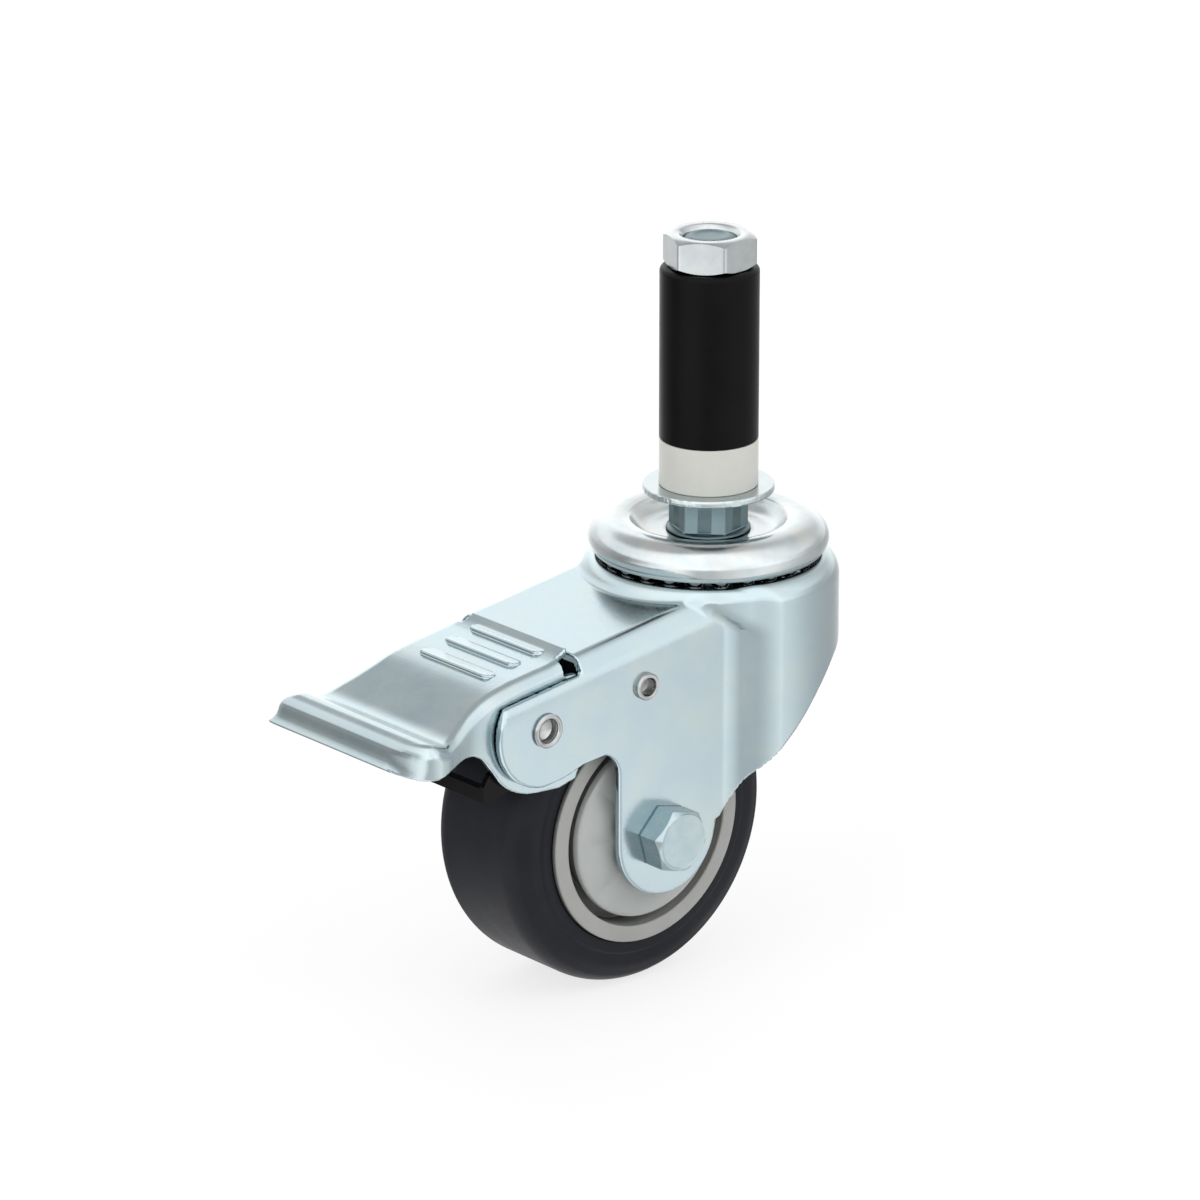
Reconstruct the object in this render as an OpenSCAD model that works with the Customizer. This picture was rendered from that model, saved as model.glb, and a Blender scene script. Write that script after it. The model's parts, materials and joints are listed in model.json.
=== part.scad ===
// Swivel castor with an expanding stem, a foot pedal and a wheel brake.
// Origin: centre of the top face of the stop disc, on the swivel axis. Z runs up the stem.
// The wheel axle runs along Y. The wheel trails toward -X and the pedal points toward -X.

/* [Stem] */
// Outside diameter of the rubber sleeve and of the spacer under it
sleeve_d = 30; // [24:0.5:38]
// Height of the white spacer between the stop disc and the sleeve
spacer_h = 14.4; // [8:0.2:24]
// Height of the rubber sleeve
sleeve_h = 52.8; // [35:0.2:70]
// Diameter of the steel stem
stem_d = 16; // [12:1:20]
// Across the flats of the nut on the stem
stem_nut_af = 25; // [20:0.5:30]
// Height of the nut on the stem
stem_nut_h = 10; // [6:0.5:14]
// Diameter of the stop disc
disc_d = 40; // [34:0.5:50]
// Thickness of the stop disc
disc_t = 2; // [1.5:0.1:3]
// Across the flats of the hexagon under the stop disc
base_af = 21; // [18:0.5:24]

/* [Swivel head] */
// Outside diameter of the domed cover
cover_d = 73.4; // [66:0.2:80]
// Height of the crest of the cover, below the stop disc
cover_top = 9.9; // [8:0.1:14]
// Thickness of the cover
cover_t = 1.5; // [1:0.1:2]
// Diameter of the upper balls
ball_d = 6.2; // [5:0.1:6.4]
// Number of upper balls
ball_count = 26; // [18:1:28]
// Diameter of the lower balls
low_ball_d = 5.2; // [4:0.1:5.4]
// Radius of the circle that the lower balls run on
low_ring_r = 19; // [17:0.1:20]
// Number of lower balls
low_ball_count = 18; // [12:1:20]

/* [Fork] */
// Gap between the tyre and the inside of each leg
leg_gap = 6.5; // [6:0.1:9]
// Thickness of the fork sheet
sheet = 3; // [2.5:0.1:3.2]
// Distance of the axle behind the swivel axis
trail = 43; // [40:0.5:46]
// Depth of the axle below the stop disc
axle_drop = 94.4; // [92:0.2:98]
// Radius of the rounded foot of a leg
leg_r = 19; // [17:0.2:21]

/* [Wheel] */
// Diameter of the tyre
tyre_d = 100; // [94:1:102]
// Width of the tyre
tyre_w = 40; // [36:0.5:41]
// Rounding of the tyre's shoulders
tyre_round = 8; // [4:0.5:12]
// Outside radius of the grey ring on the rim
ring_r = 35.8; // [33:0.1:37]
// Diameter of the axle bolt
axle_d = 12; // [10:0.5:12.5]
// Across the flats of the bolt head and of the axle nut
bolt_af = 18; // [16:0.5:19]
// Height of the bolt head
bolt_head_h = 8.5; // [6:0.1:10]

/* [Pedal and brake] */
// Half width of the pedal's lip
lip_half = 35; // [32:0.5:38]
// Thickness of the pedal sheet
pedal_t = 2.3; // [2:0.1:2.4]
// Diameter of the pedal's pivot tube
pivot_d = 8.8; // [7:0.1:10]
// Thickness of the brake pad
pad_t = 4.4; // [3:0.1:4.6]
// Gap between the pad and the tyre with the brake off
pad_gap = 2.3; // [1.5:0.1:3]

/* [Hidden] */
$fn = 96;
e = 0.01;
run = 0.06;                 // radial clearance of a running shaft
slip = 0.1;                 // radial clearance of a bore that slides over its shaft
seat = 0.02;                // clearance of a ball in its groove
free = 0.4;                 // gap between sheets that pass each other
sleeve_r = sleeve_d / 2;
stem_r = stem_d / 2;
disc_r = disc_d / 2;
nut_z = spacer_h + sleeve_h + 0.8;
spacer_seat = 0.3;          // the spacer sits this deep in the stop disc

// swivel head, from the top down
floor_z = -cover_top - 4.5;             // floor of the cover's dish
ball_z = floor_z - cover_t - 1.4 - ball_d / 2;
crown_z = ball_z + 1.5 - ball_d / 2;    // top of the crown of the fork
crown_under = crown_z - sheet - 0.8;
low_ball_z = crown_under + 1.4 - low_ball_d / 2;
nut_top_z = low_ball_z - 6;
eye_r = low_ring_r - 6;                 // hole in the crown for the kingpin
kingpin_nut_h = 9;
cover_r = cover_d / 2;
bell_r = cover_r + 3;                   // outside radius of the bell round the swivel
ball_ring_r = cover_r - 5.7;            // circle that the upper balls run on

// wheel
tyre_r = tyre_d / 2;
tyre_half = tyre_w / 2;
side = tyre_r - tyre_round - ring_r;    // flat side of the tyre
bead_r = ring_r + 0.35 * side;
bead_half = tyre_half - 2;
rim_half = tyre_half + 0.6;
recess = rim_half - 2.9;                // floor of the recess in the rim
ring_in = ring_r - 5.1;
guard_r = ring_in - 1.7;
hub_r = axle_d / 2 + 1.5;               // tube that carries the bearings
bearing_y = recess - 5.7;               // middle of a bearing
bearing_half = 5.5;
bearing_r = hub_r + 10;
race_r = hub_r + 5;
race_ball_r = 3;

// fork: the legs stand beside the tyre, the roof falls toward the pedal
legs_in = tyre_half + leg_gap;
fork_half = legs_in + sheet;
axle = [-trail, 0, -axle_drop];
foot = [1.5 - trail, -axle_drop];
low = -axle_drop - leg_r - 5;
bridge_t = 2;
pivot_reach = tyre_r + pad_gap + pad_t + bridge_t + free + pivot_d / 2 + 0.08;
pivot = [-trail + pivot_reach * cos(136.1), -axle_drop + pivot_reach * sin(136.1)];
hang = [-trail - 7.6, -axle_drop + tyre_r - 1];     // rivets that carry the brake yoke
roof_x = -26.2;
roof_z = crown_z - 3.7;
roof_slope = atan((roof_z - pivot[1] - 15.7) / (roof_x - pivot[0]));
ears_x = pivot[0] + 14.6;               // the roof ends here and the ears run on
ear_r = 17.6;
lobe_r = 20.4;                          // lobe of the pedal over each ear
rivet_r = 3.1;
flange_out = legs_in - free;
arm_out = flange_out - pedal_t - free;
arm_in = arm_out - 1.8;

// Points on an arc or an ellipse, from a0 to a1 in n steps.
function arc(c, rx, ry, a0, a1, n) =
    [for (i = [0:n]) let (a = a0 + (a1 - a0) * i / n) [c[0] + rx * cos(a), c[1] + ry * sin(a)]];

// The same points, moved by d.
function moved(points, d) = [for (p = points) p + d];

// A line at distance t on the right of another, which runs from rear to front.
function beside(line, t) =
    [for (i = [0:len(line) - 1])
        let (d = line[min(i + 1, len(line) - 1)] - line[max(i - 1, 0)])
        line[i] + t * [-d[1], d[0]] / norm(d)];

// A ring between two radii, from z0 to z1.
module tube(r_out, r_in, z0, z1) {
    translate([0, 0, z0]) difference() {
        cylinder(r = r_out, h = z1 - z0);
        translate([0, 0, -1]) cylinder(r = r_in, h = z1 - z0 + 2);
    }
}

// A hexagon by its width across the flats.
module hexagon(af, h) {
    cylinder(r = af / 2 / cos(30), h = h, $fn = 6);
}

// Turns a body built along Z so that it lies along Y, at the height of the axle.
module on_axle() {
    translate(axle) rotate([-90, 0, 0]) children();
}

// A round bar along Y, through a point in x and z.
module cross_bar(at, r, half) {
    translate([at[0], half, at[1]]) rotate([90, 0, 0]) cylinder(r = r, h = 2 * half);
}

// A flat outline in x and z, from y0 to y1.
module side_plate(y0, y1) {
    translate([0, y1, 0]) rotate([90, 0, 0]) linear_extrude(y1 - y0) children();
}

// The two mirrored plates of that kind.
module both_sides(y0, y1) {
    side_plate(y0, y1) children();
    side_plate(-y1, -y0) children();
}

// Stem

module stem_stud() color("silver") {
    top = nut_z + stem_nut_h;
    bottom = nut_top_z - kingpin_nut_h - 1.5;
    difference() {
        union() {
            translate([0, 0, bottom]) cylinder(r = stem_r, h = top - 2 - bottom);
            translate([0, 0, floor_z + 1.2]) rotate([0, 0, 6])
                hexagon(base_af, -disc_t - floor_z - 1.2);
            translate([0, 0, floor_z]) cylinder(r = base_af / 2 / cos(30) + 0.7, h = 1.3);
        }
        // the turned bevel at the top end
        translate([0, 0, top - 3.2]) difference() {
            cylinder(r = stem_r + 1, h = 2);
            translate([0, 0, -e]) cylinder(r1 = stem_r, r2 = stem_r - 1.3, h = 1.3);
        }
    }
}

module stem_nut() color("gainsboro") {
    r = stem_nut_af / 2 / cos(30);
    h = stem_nut_h;
    translate([0, 0, nut_z]) difference() {
        intersection() {
            rotate([0, 0, 7.3]) hexagon(stem_nut_af, h);
            rotate_extrude() polygon([[0, 0], [r - 1.7, 0], [r + 0.1, 1.1], [r + 0.1, h - 1.1],
                                      [r - 1.7, h], [0, h]]);
        }
        translate([0, 0, -1]) cylinder(r = stem_r + run, h = h + 2);
        translate([0, 0, h - 1]) cylinder(r1 = stem_r, r2 = stem_r + 1.2, h = 1.2);
    }
}

module expander_sleeve() color("dimgray") {
    top = sleeve_h + 0.79;
    translate([0, 0, spacer_h]) rotate_extrude()
        polygon(concat([[stem_r + slip, 0], [sleeve_r, 0]],
                       arc([sleeve_r - 1.2, sleeve_h - 1.2], 1.2, 1.2, 0, 90, 4),
                       [[sleeve_r - 1.6, top], [stem_r + slip, top]]));
}

module spacer_ring() color("white") {
    tube(sleeve_r, stem_r + slip, 0, spacer_h);
    tube(sleeve_r - 0.6, stem_r + slip, -spacer_seat, 1);
}

module stop_disc() color("silver") {
    edge = 0.3;
    rotate_extrude() polygon([
        [stem_r + slip, -disc_t], [disc_r - edge, -disc_t], [disc_r, edge - disc_t],
        [disc_r, -edge], [disc_r - edge, 0], [sleeve_r + slip, 0],
        [sleeve_r + slip, -spacer_seat], [stem_r + slip, -spacer_seat]]);
}

// Swivel head

module top_cover() color("lightsteelblue") {
    roll = 8.1;
    c = [cover_r - roll, floor_z - 1.5];
    rise = -cover_top - c[1];
    rotate_extrude() polygon(concat(
        [[stem_r + slip, floor_z], [c[0] - 9.4, floor_z], [c[0] - 7.6, floor_z + 0.5]],
        arc(c, roll, rise, 155, -42, 22),
        arc(c, roll - cover_t, rise - cover_t, -30, 158, 22),
        [[c[0] - 7.2, floor_z - 1], [c[0] - 9, floor_z - cover_t],
         [stem_r + slip, floor_z - cover_t]]));
}

module upper_race() color("gray") {
    r = ball_ring_r;
    top = floor_z - cover_t;
    rotate_extrude() difference() {
        polygon([[stem_r + slip, top], [r - 8.2, top], [r - 5.6, top + 1.3], [r + 1.6, top + 1.3],
                 [r + 2, top + 0.7], [r + 2, ball_z + 2], [r + 1.2, ball_z + 1.5],
                 [r - 6, ball_z + 1.5], [r - 7, ball_z + 2.4], [stem_r + slip, ball_z + 2.4]]);
        translate([r, ball_z]) circle(r = ball_d / 2 + free, $fn = 48);
    }
}

module lower_race() color("gray") {
    r = low_ring_r;
    top = low_ball_z - 1.2;
    rotate_extrude() difference() {
        polygon([[stem_r + slip, nut_top_z], [r + 3, nut_top_z], [r + 4, nut_top_z + 1],
                 [r + 4, top], [r - 4, top], [eye_r - 1, crown_under - free],
                 [eye_r - 1, ball_z - 1.2], [stem_r + slip, ball_z - 1.2]]);
        translate([r, low_ball_z]) circle(r = low_ball_d / 2 + free, $fn = 48);
    }
}

module kingpin_nut() color("gray") {
    translate([0, 0, nut_top_z - kingpin_nut_h]) difference() {
        hexagon(base_af + 1, kingpin_nut_h);
        translate([0, 0, -1]) cylinder(r = stem_r + run, h = kingpin_nut_h + 2);
    }
}

module ball_circle(count, r, z, d) {
    for (i = [0:count - 1])
        rotate([0, 0, i * 360 / count]) translate([r, 0, z]) sphere(d = d, $fn = 20);
}

module upper_balls() color("gainsboro") ball_circle(ball_count, ball_ring_r, ball_z, ball_d);
module lower_balls() color("gainsboro")
    ball_circle(low_ball_count, low_ring_r, low_ball_z, low_ball_d);

// Fork

// The tunnel of the two legs under the sloping roof, drawn across at half width hw.
module leg_tunnel(hw, top, round) {
    translate([roof_x, 0, roof_z + top]) rotate([0, -roof_slope, 0])
        translate([22, 0, 0]) rotate([90, 0, -90]) linear_extrude(110) union() {
            translate([-hw, low]) square([2 * hw, -low - round]);
            translate([round - hw, -round - 1]) square([2 * (hw - round), round + 1]);
            translate([round - hw, -round]) circle(r = round, $fn = 48);
            translate([hw - round, -round]) circle(r = round, $fn = 48);
        }
}

// The bell: a cylinder with a rounded shoulder, cut off in front where the legs begin.
module bell(r, shoulder, top, dx) {
    wide = bell_r + 6;
    flare = bell_r - 0.3 - 2 * dx;
    leg = fork_half - 2 * dx;
    intersection() {
        rotate_extrude() polygon(concat([[0, low], [r, low]],
            arc([r - shoulder, top - shoulder], shoulder, shoulder, 0, 90, 8), [[0, top]]));
        translate([0, 0, low - 1]) linear_extrude(-low)
            polygon([[-18 + dx, -leg], [-9 + dx, -flare], [-9 + dx, -wide], [wide, -wide],
                     [wide, wide], [-9 + dx, wide], [-9 + dx, flare], [-18 + dx, leg]]);
    }
}

// The bell's lower edge and the rear edge of a leg, then the foot, the front edge and the arch.
module fork_sheet_outline() {
    wide = bell_r + 5.3;
    polygon(concat(
        [[ears_x - 18, crown_z + 7], [wide, crown_z + 7], [wide, crown_z - 23.6]],
        [[27.3, crown_z - 27.1], [20.4, crown_z - 29.9], [14.6, crown_z - 33.9]],
        [[2, crown_z - 45.5]],
        moved([[32.5, 16.6], [26.3, 8], [18.1, -5.2], [0, -4], [-leg_r, 0]], foot),
        moved(concat(arc([20.3, -21.1], 8, 8, 0, 90, 8), [[11.3, -13.3], [4.2, -16.9], [0, 0]]),
              pivot)));
}

module fork_frame() color("lightsteelblue") {
    wide = bell_r + 6;
    difference() {
        intersection() {
            union() {
                bell(bell_r, 8, crown_z, 0);
                leg_tunnel(fork_half, 0, 5);
                // the low dome between the crown and the roof
                rotate_extrude() polygon(concat([[0, crown_z - 18], [bell_r - 1.3, crown_z - 18]],
                    arc([bell_r - 7.3, crown_z - 6], 6, 6, 0, 80, 6), [[0, crown_z]]));
            }
            union() {
                side_plate(-wide, wide) fork_sheet_outline();
                cross_bar(pivot, ear_r, wide);
                cross_bar(foot, leg_r, wide);
            }
        }
        // the hollow inside
        bell(bell_r - sheet, 5, crown_under, sheet * 0.7);
        leg_tunnel(legs_in, -sheet, 2.5);
        translate([0, 0, crown_under - 34]) cylinder(r = bell_r - 11.7, h = 34);
        // the ears stand free in front of the roof
        translate([ears_x - 60, -legs_in, low]) cube([60, 2 * legs_in, -low]);
        translate([roof_x, 0, roof_z - 4.4]) rotate([0, -roof_slope, 0])
            translate([(ears_x - roof_x) / cos(roof_slope) - 60, -wide, 0])
                cube([60, 2 * wide, 30]);
        // ball grooves and the eye for the kingpin
        rotate_extrude() translate([ball_ring_r, ball_z]) circle(r = ball_d / 2 + seat, $fn = 48);
        rotate_extrude() translate([low_ring_r, low_ball_z])
            circle(r = low_ball_d / 2 + seat, $fn = 48);
        translate([0, 0, low]) cylinder(r = eye_r, h = -low);
        // axle, pivot and yoke rivet holes
        cross_bar([axle[0], axle[2]], axle_d / 2 + slip, wide);
        cross_bar(pivot, pivot_d / 2, wide);
        cross_bar(hang, rivet_r + slip, wide);
    }
}

// Axle and wheel

module axle_bolt() color("silver") {
    r = axle_d / 2;
    head = bolt_head_h;
    end = fork_half + 14;
    on_axle() difference() {
        union() {
            translate([0, 0, -fork_half - 1]) cylinder(r = r, h = fork_half + 1 + end);
            translate([0, 0, -fork_half - head]) rotate([0, 0, 14]) intersection() {
                hexagon(bolt_af, head);
                rotate_extrude() polygon([[0, 0], [bolt_af / 2 - 0.6, 0], [bolt_af / 2 + 2, 1.5],
                                          [bolt_af / 2 + 2, head], [0, head]]);
            }
        }
        translate([0, 0, end - 1.2]) difference() {
            cylinder(r = r + 1, h = 2);
            translate([0, 0, -e]) cylinder(r1 = r, r2 = r - 1.2, h = 1.2);
        }
    }
}

module axle_tube() color("gray") {
    on_axle() tube(hub_r, axle_d / 2 + slip, -legs_in, legs_in);
}

module axle_washer() color("silver") {
    on_axle() tube(bolt_af / 2 + 2.5, axle_d / 2 + slip, fork_half, fork_half + 2);
}

module axle_nut() color("silver") {
    h = 10;
    on_axle() translate([0, 0, fork_half + 2]) difference() {
        intersection() {
            rotate([0, 0, 20]) hexagon(bolt_af, h);
            rotate_extrude() polygon([[0, 0], [bolt_af / 2 + 2, 0], [bolt_af / 2 + 2, h - 1.4],
                                      [bolt_af / 2 - 0.4, h], [0, h]]);
        }
        translate([0, 0, -1]) cylinder(r = axle_d / 2 + run, h = h + 2);
    }
}

// A ball bearing, near at s = -1 and far at s = 1.
module bearing_ring(s, r_out, r_in, groove_r) {
    on_axle() difference() {
        tube(r_out, r_in, s * bearing_y - bearing_half, s * bearing_y + bearing_half);
        translate([0, 0, s * bearing_y]) rotate_extrude() translate([race_r, 0])
            circle(r = groove_r, $fn = 48);
    }
}

module bearing_inner(s) {
    bearing_ring(s, race_r - 2.2, hub_r + seat, race_ball_r + slip);
}

module bearing_outer(s) {
    bearing_ring(s, bearing_r, race_r + 2.2, race_ball_r + seat);
}

module bearing_balls(s) {
    on_axle() ball_circle(9, race_r, s * bearing_y, 2 * race_ball_r);
}

module bearing_inner_near() color("silver") bearing_inner(-1);
module bearing_inner_far() color("silver") bearing_inner(1);
module bearing_outer_near() color("silver") bearing_outer(-1);
module bearing_outer_far() color("silver") bearing_outer(1);
module bearing_balls_near() color("gainsboro") bearing_balls(-1);
module bearing_balls_far() color("gainsboro") bearing_balls(1);

// A dished guard over the end of the hub. It sits on the axle tube and stays still.
module thread_guard() {
    face = rim_half + 3;
    edge = rim_half - 0.3;
    rotate_extrude() polygon([[hub_r + slip, face], [hub_r + 1.5, face], [hub_r + 5.5, face - 0.4],
        [guard_r - 2, edge + 0.6], [guard_r, edge], [guard_r, edge - 1.4],
        [guard_r - 0.8, edge - 1.4], [guard_r - 2.4, edge - 0.8], [hub_r + 5.5, face - 1.9],
        [hub_r + 3.7, face - 1.9], [hub_r + 2.9, recess], [hub_r + slip, recess]]);
}

module thread_guard_near() color("darkgray") on_axle() mirror([0, 0, 1]) thread_guard();
module thread_guard_far() color("darkgray") on_axle() thread_guard();

module wheel_rim() color("darkgray") {
    on_axle() difference() {
        union() {
            tube(bead_r, bearing_r, -bead_half, bead_half);
            tube(ring_r, bearing_r, -rim_half, rim_half);
        }
        for (s = [-1, 1]) {
            // the recess under the guard and the deep groove round it
            mid = s * (rim_half + 1 + recess) / 2;
            tube(ring_in, hub_r + 2.5, mid - (rim_half + 1 - recess) / 2,
                 mid + (rim_half + 1 - recess) / 2);
            tube(ring_in, guard_r - 4, s * (recess - 2.7) - 3, s * (recess - 2.7) + 3);
        }
    }
}

// One side of the tyre's section, from the bead to the tread: h is the half width.
function tyre_side(h) =
    let (groove = ring_r + side / 2)
    concat([[bead_r, h > 0 ? bead_half : -bead_half], [ring_r, h > 0 ? bead_half : -bead_half],
            [ring_r, h - sign(h) * 0.6], [ring_r + 0.1 * side, h], [groove - 0.08 * side, h],
            [groove, h - sign(h) * 0.5], [groove + 0.08 * side, h]],
           arc([tyre_r - tyre_round, h - sign(h) * tyre_round], tyre_round, tyre_round,
               sign(h) * 90, 0, 8));

module tyre() color("dimgray") {
    far = tyre_side(tyre_half);
    on_axle() rotate_extrude()
        polygon(concat(tyre_side(-tyre_half), [for (i = [len(far) - 1:-1:0]) far[i]]));
}

// Pedal and brake

module pivot_tube() color("silver") {
    head = 1.3;
    r = pivot_d / 2;
    y = fork_half;
    translate([pivot[0], 0, pivot[1]]) rotate([-90, 0, 0]) difference() {
        rotate_extrude() polygon([[0, -y - head], [r - 0.2, -y - head], [r + 0.8, -y - 0.7],
            [r + 0.8, -y], [r - run, -y], [r - run, y], [r + 0.8, y], [r + 0.8, y + 0.7],
            [r - 0.2, y + head], [0, y + head]]);
        translate([0, 0, -y - 10]) cylinder(r = r - 1.4, h = 2 * y + 20);
    }
}

module yoke_rivet(s) {
    r = rivet_r;
    y = fork_half;
    translate([hang[0], 0, hang[1]]) rotate([s > 0 ? -90 : 90, 0, 0]) difference() {
        rotate_extrude() polygon([[0, arm_in - 0.9], [r + 0.9, arm_in - 0.9],
            [r + 0.9, arm_in - 0.1], [r, arm_in - 0.1], [r, arm_out + 0.1],
            [r + 0.8, arm_out + 0.1], [r + 0.8, legs_in], [r, legs_in], [r, y], [r + 0.9, y],
            [r + 0.9, y + 1], [r + 0.2, y + 1.7], [0, y + 1.7]]);
        translate([0, 0, y - 5]) cylinder(r = r - 1, h = 10);
    }
}

module yoke_rivets() color("silver") {
    yoke_rivet(-1);
    yoke_rivet(1);
}

// Top line of the pedal seen from the side, from the rear edge to the lip, about the pivot.
top_line = moved([[13.8, 20], [11.6, 18.8], [8.8, 17.9], [0.6, 16.6], [-9.5, 15.1],
                  [-17.2, 13.3], [-24.2, 10.4], [-31.2, 6.9], [-35.2, 5.2], [-38.8, 4.7],
                  [-41.8, 5.7], [-44.6, 6.7], [-47.6, 6.3], [-50, 4.5], [-51.4, 1.7],
                  [-52.6, -1.5]], pivot);
under_line = beside(top_line, pedal_t);

// Outline of a flange: up to the top line, down to the lobe round the pivot.
module flange_outline() {
    intersection() {
        union() {
            translate(pivot) circle(r = lobe_r);
            polygon(concat(top_line, moved([[-50.6, -2.3], [-42.2, -4.3], [-33.2, -4.7],
                [-29.8, -3.5], [-26.2, -2.9], [-22.6, -3.7], [-19.2, -6.7], [-15.6, -13.1],
                [0, 0], [14.2, 12.3]], pivot)));
        }
        polygon(concat(top_line, moved([[-53.2, -25], [14.2, -25], [14.2, 15.3]], pivot)));
    }
}

// Outside edge of the pedal in plan: straight between the ears, flared in front of them.
flare_line = let (o = flange_out, l = lip_half)
    moved([[14.8, o], [-19.8, o], [-25.2, o + 2], [-31.2, l - 2.2], [-37.2, l], [-48.2, l],
           [-51.7, l - 2], [-54.2, l - 6]], [pivot[0], 0]);

// Plan of the side walls.
module wall_plan(s) {
    o = flange_out;
    l = lip_half;
    inner = moved([[-54.2, l - 9], [-50.2, l - 4.6], [-47.2, l - pedal_t], [-38.2, l - pedal_t],
                   [-32.8, l - 4.4], [-26.8, o - 0.2], [-20.2, o - pedal_t],
                   [14.8, o - pedal_t]], [pivot[0], 0]);
    polygon([for (p = concat(flare_line, inner)) [p[0], s * p[1]]]);
}

module plate_plan() {
    n = len(flare_line);
    polygon(concat(flare_line, [for (i = [n - 1:-1:0]) [flare_line[i][0], -flare_line[i][1]]]));
}

module pedal() color("lightsteelblue") {
    deep = 60;
    difference() {
        union() {
            intersection() {
                side_plate(-lip_half - 1, lip_half + 1) polygon(
                    concat(top_line, [for (i = [len(under_line) - 1:-1:0]) under_line[i]]));
                translate([0, 0, pivot[1] - deep / 2]) linear_extrude(deep) plate_plan();
            }
            intersection() {
                side_plate(-lip_half - 1, lip_half + 1) flange_outline();
                translate([0, 0, pivot[1] - deep / 2]) linear_extrude(deep) union() {
                    wall_plan(1);
                    wall_plan(-1);
                }
            }
            // the three treads pressed up from the plate
            for (p = [[-10.1, 15, 9], [-0.1, 16.5, 8.5], [9.2, 17.9, 8.5]])
                translate([pivot[0] + p[0], 0, pivot[1] + p[1]]) rotate([0, -p[2], 0])
                    translate([-1.6, -15, -1]) cube([3.2, 30, 1.9]);
        }
        cross_bar(pivot, pivot_d / 2 + run, 50);
    }
}

// Side of the brake yoke: an arm from the rivet, under the pivot tube, to the bar in front.
module yoke_arm() {
    under = pivot_d / 2 + 0.9;
    difference() {
        union() {
            translate(hang) circle(r = 6.4);
            polygon(concat([hang + [-1.6, 6.2]],
                moved(concat([[22.8, 3.7], [10.8, -0.1]], arc([0, 0], under, under, -27, -84, 3),
                             [[-5.2, -7.3], [-11.2, -8.9], [-17, -11.7], [-19.2, -15.1],
                              [-19.2, -19.9], [-15.2, -19.9], [-6.7, -17.5], [4.8, -15.5],
                              [18.8, -8.3]]), pivot),
                [hang + [-4, -5]]));
        }
        translate(hang) circle(r = rivet_r + run);
    }
}

module brake_yoke() color("dimgray") {
    both_sides(arm_in, arm_out) yoke_arm();
    // the bar across the front
    side_plate(-arm_out, arm_out) polygon(moved(
        [[-19.2, -19.9], [-16.6, -19.9], [-15.8, -15.9], [-18.2, -14.5], [-19.2, -15.7]], pivot));
    // the bridge that carries the pad
    side_plate(-arm_out, arm_out) pad_shape(pad_t + e, pad_t + e + bridge_t, 132, 141);
}

// A slab that follows the tyre, between two distances outside the brake gap.
module pad_shape(d0, d1, a0, a1) {
    r0 = tyre_r + pad_gap + d0;
    r1 = tyre_r + pad_gap + d1;
    c = [-trail, -axle_drop];
    polygon(concat(arc(c, r0, r0, a0, a1, 6), arc(c, r1, r1, a1, a0, 6)));
}

module brake_pad() color("dimgray") {
    side_plate(6 - tyre_half, tyre_half - 6) pad_shape(0, pad_t, 129, 144);
}

stem_stud();
stem_nut();
expander_sleeve();
spacer_ring();
stop_disc();
top_cover();
upper_race();
lower_race();
kingpin_nut();
fork_frame();
upper_balls();
lower_balls();
axle_bolt();
axle_tube();
axle_washer();
axle_nut();
bearing_inner_near();
bearing_inner_far();
bearing_outer_near();
bearing_outer_far();
bearing_balls_near();
bearing_balls_far();
thread_guard_near();
thread_guard_far();
wheel_rim();
tyre();
pivot_tube();
yoke_rivets();
pedal();
brake_yoke();
brake_pad();
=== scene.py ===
import json
import math

import bmesh
import bpy
import numpy as np
from mathutils import Matrix, Vector


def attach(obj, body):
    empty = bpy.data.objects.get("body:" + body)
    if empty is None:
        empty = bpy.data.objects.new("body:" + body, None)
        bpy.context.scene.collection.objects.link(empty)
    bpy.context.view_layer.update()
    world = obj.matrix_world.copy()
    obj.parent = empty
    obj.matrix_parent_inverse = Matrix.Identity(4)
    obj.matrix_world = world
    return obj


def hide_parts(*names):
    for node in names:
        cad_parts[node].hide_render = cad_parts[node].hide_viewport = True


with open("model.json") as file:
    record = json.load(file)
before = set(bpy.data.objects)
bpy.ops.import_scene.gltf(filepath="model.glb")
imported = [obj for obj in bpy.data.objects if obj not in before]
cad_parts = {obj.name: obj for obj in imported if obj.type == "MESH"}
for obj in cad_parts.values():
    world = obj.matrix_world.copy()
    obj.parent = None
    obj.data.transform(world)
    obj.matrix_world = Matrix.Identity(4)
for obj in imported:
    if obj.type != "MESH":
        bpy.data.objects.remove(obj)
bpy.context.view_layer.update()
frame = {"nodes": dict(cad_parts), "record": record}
MM = 0.001

# Sizes of the castor in millimetres, as in the construction
SPACER_H = 14.4
NUT_Z, NUT_H, NUT_AF = 68.0, 10.0, 25.0
DISC_R = 20.0
BASE_AF, DISH_Z = 21.0, -14.4
CROWN_Z, CROWN_UNDER, EYE_R = -22.0, -25.8, 13.0
BALL_Z, BALL_R, BALL_RING = -20.4, 3.1, 31.0
BELL_R, SHEET, LEG_OUT, LEG_IN = 39.7, 3.0, 29.5, 26.5
ROOF_X, ROOF_Z, ROOF_SLOPE = -26.2, -24.9, math.radians(8.08)
BEND_WIDE, BEND_HIGH = 6.5, 11
# Points of the side view (x, z): the axle, the foot's centre, the pedal's rivet, the yoke's rivets
AXLE = (-43.0, -94.4)
FOOT, FOOT_R = (-41.5, -94.4), 19.0
PIVOT = (-88.81, -50.31)
HANG = (-50.6, -45.4)
EARS_X, EAR_R = -74.2, 17.6
TYRE_R, TYRE_HALF, SHOULDER = 50.0, 20.0, 8.0
RING_OUT, RING_IN, RIM_HALF = 35.8, 30.7, 21.6
BOLT_AF = 18.0
PEDAL_T, FLANGE_OUT = 2.3, 26.1


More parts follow.
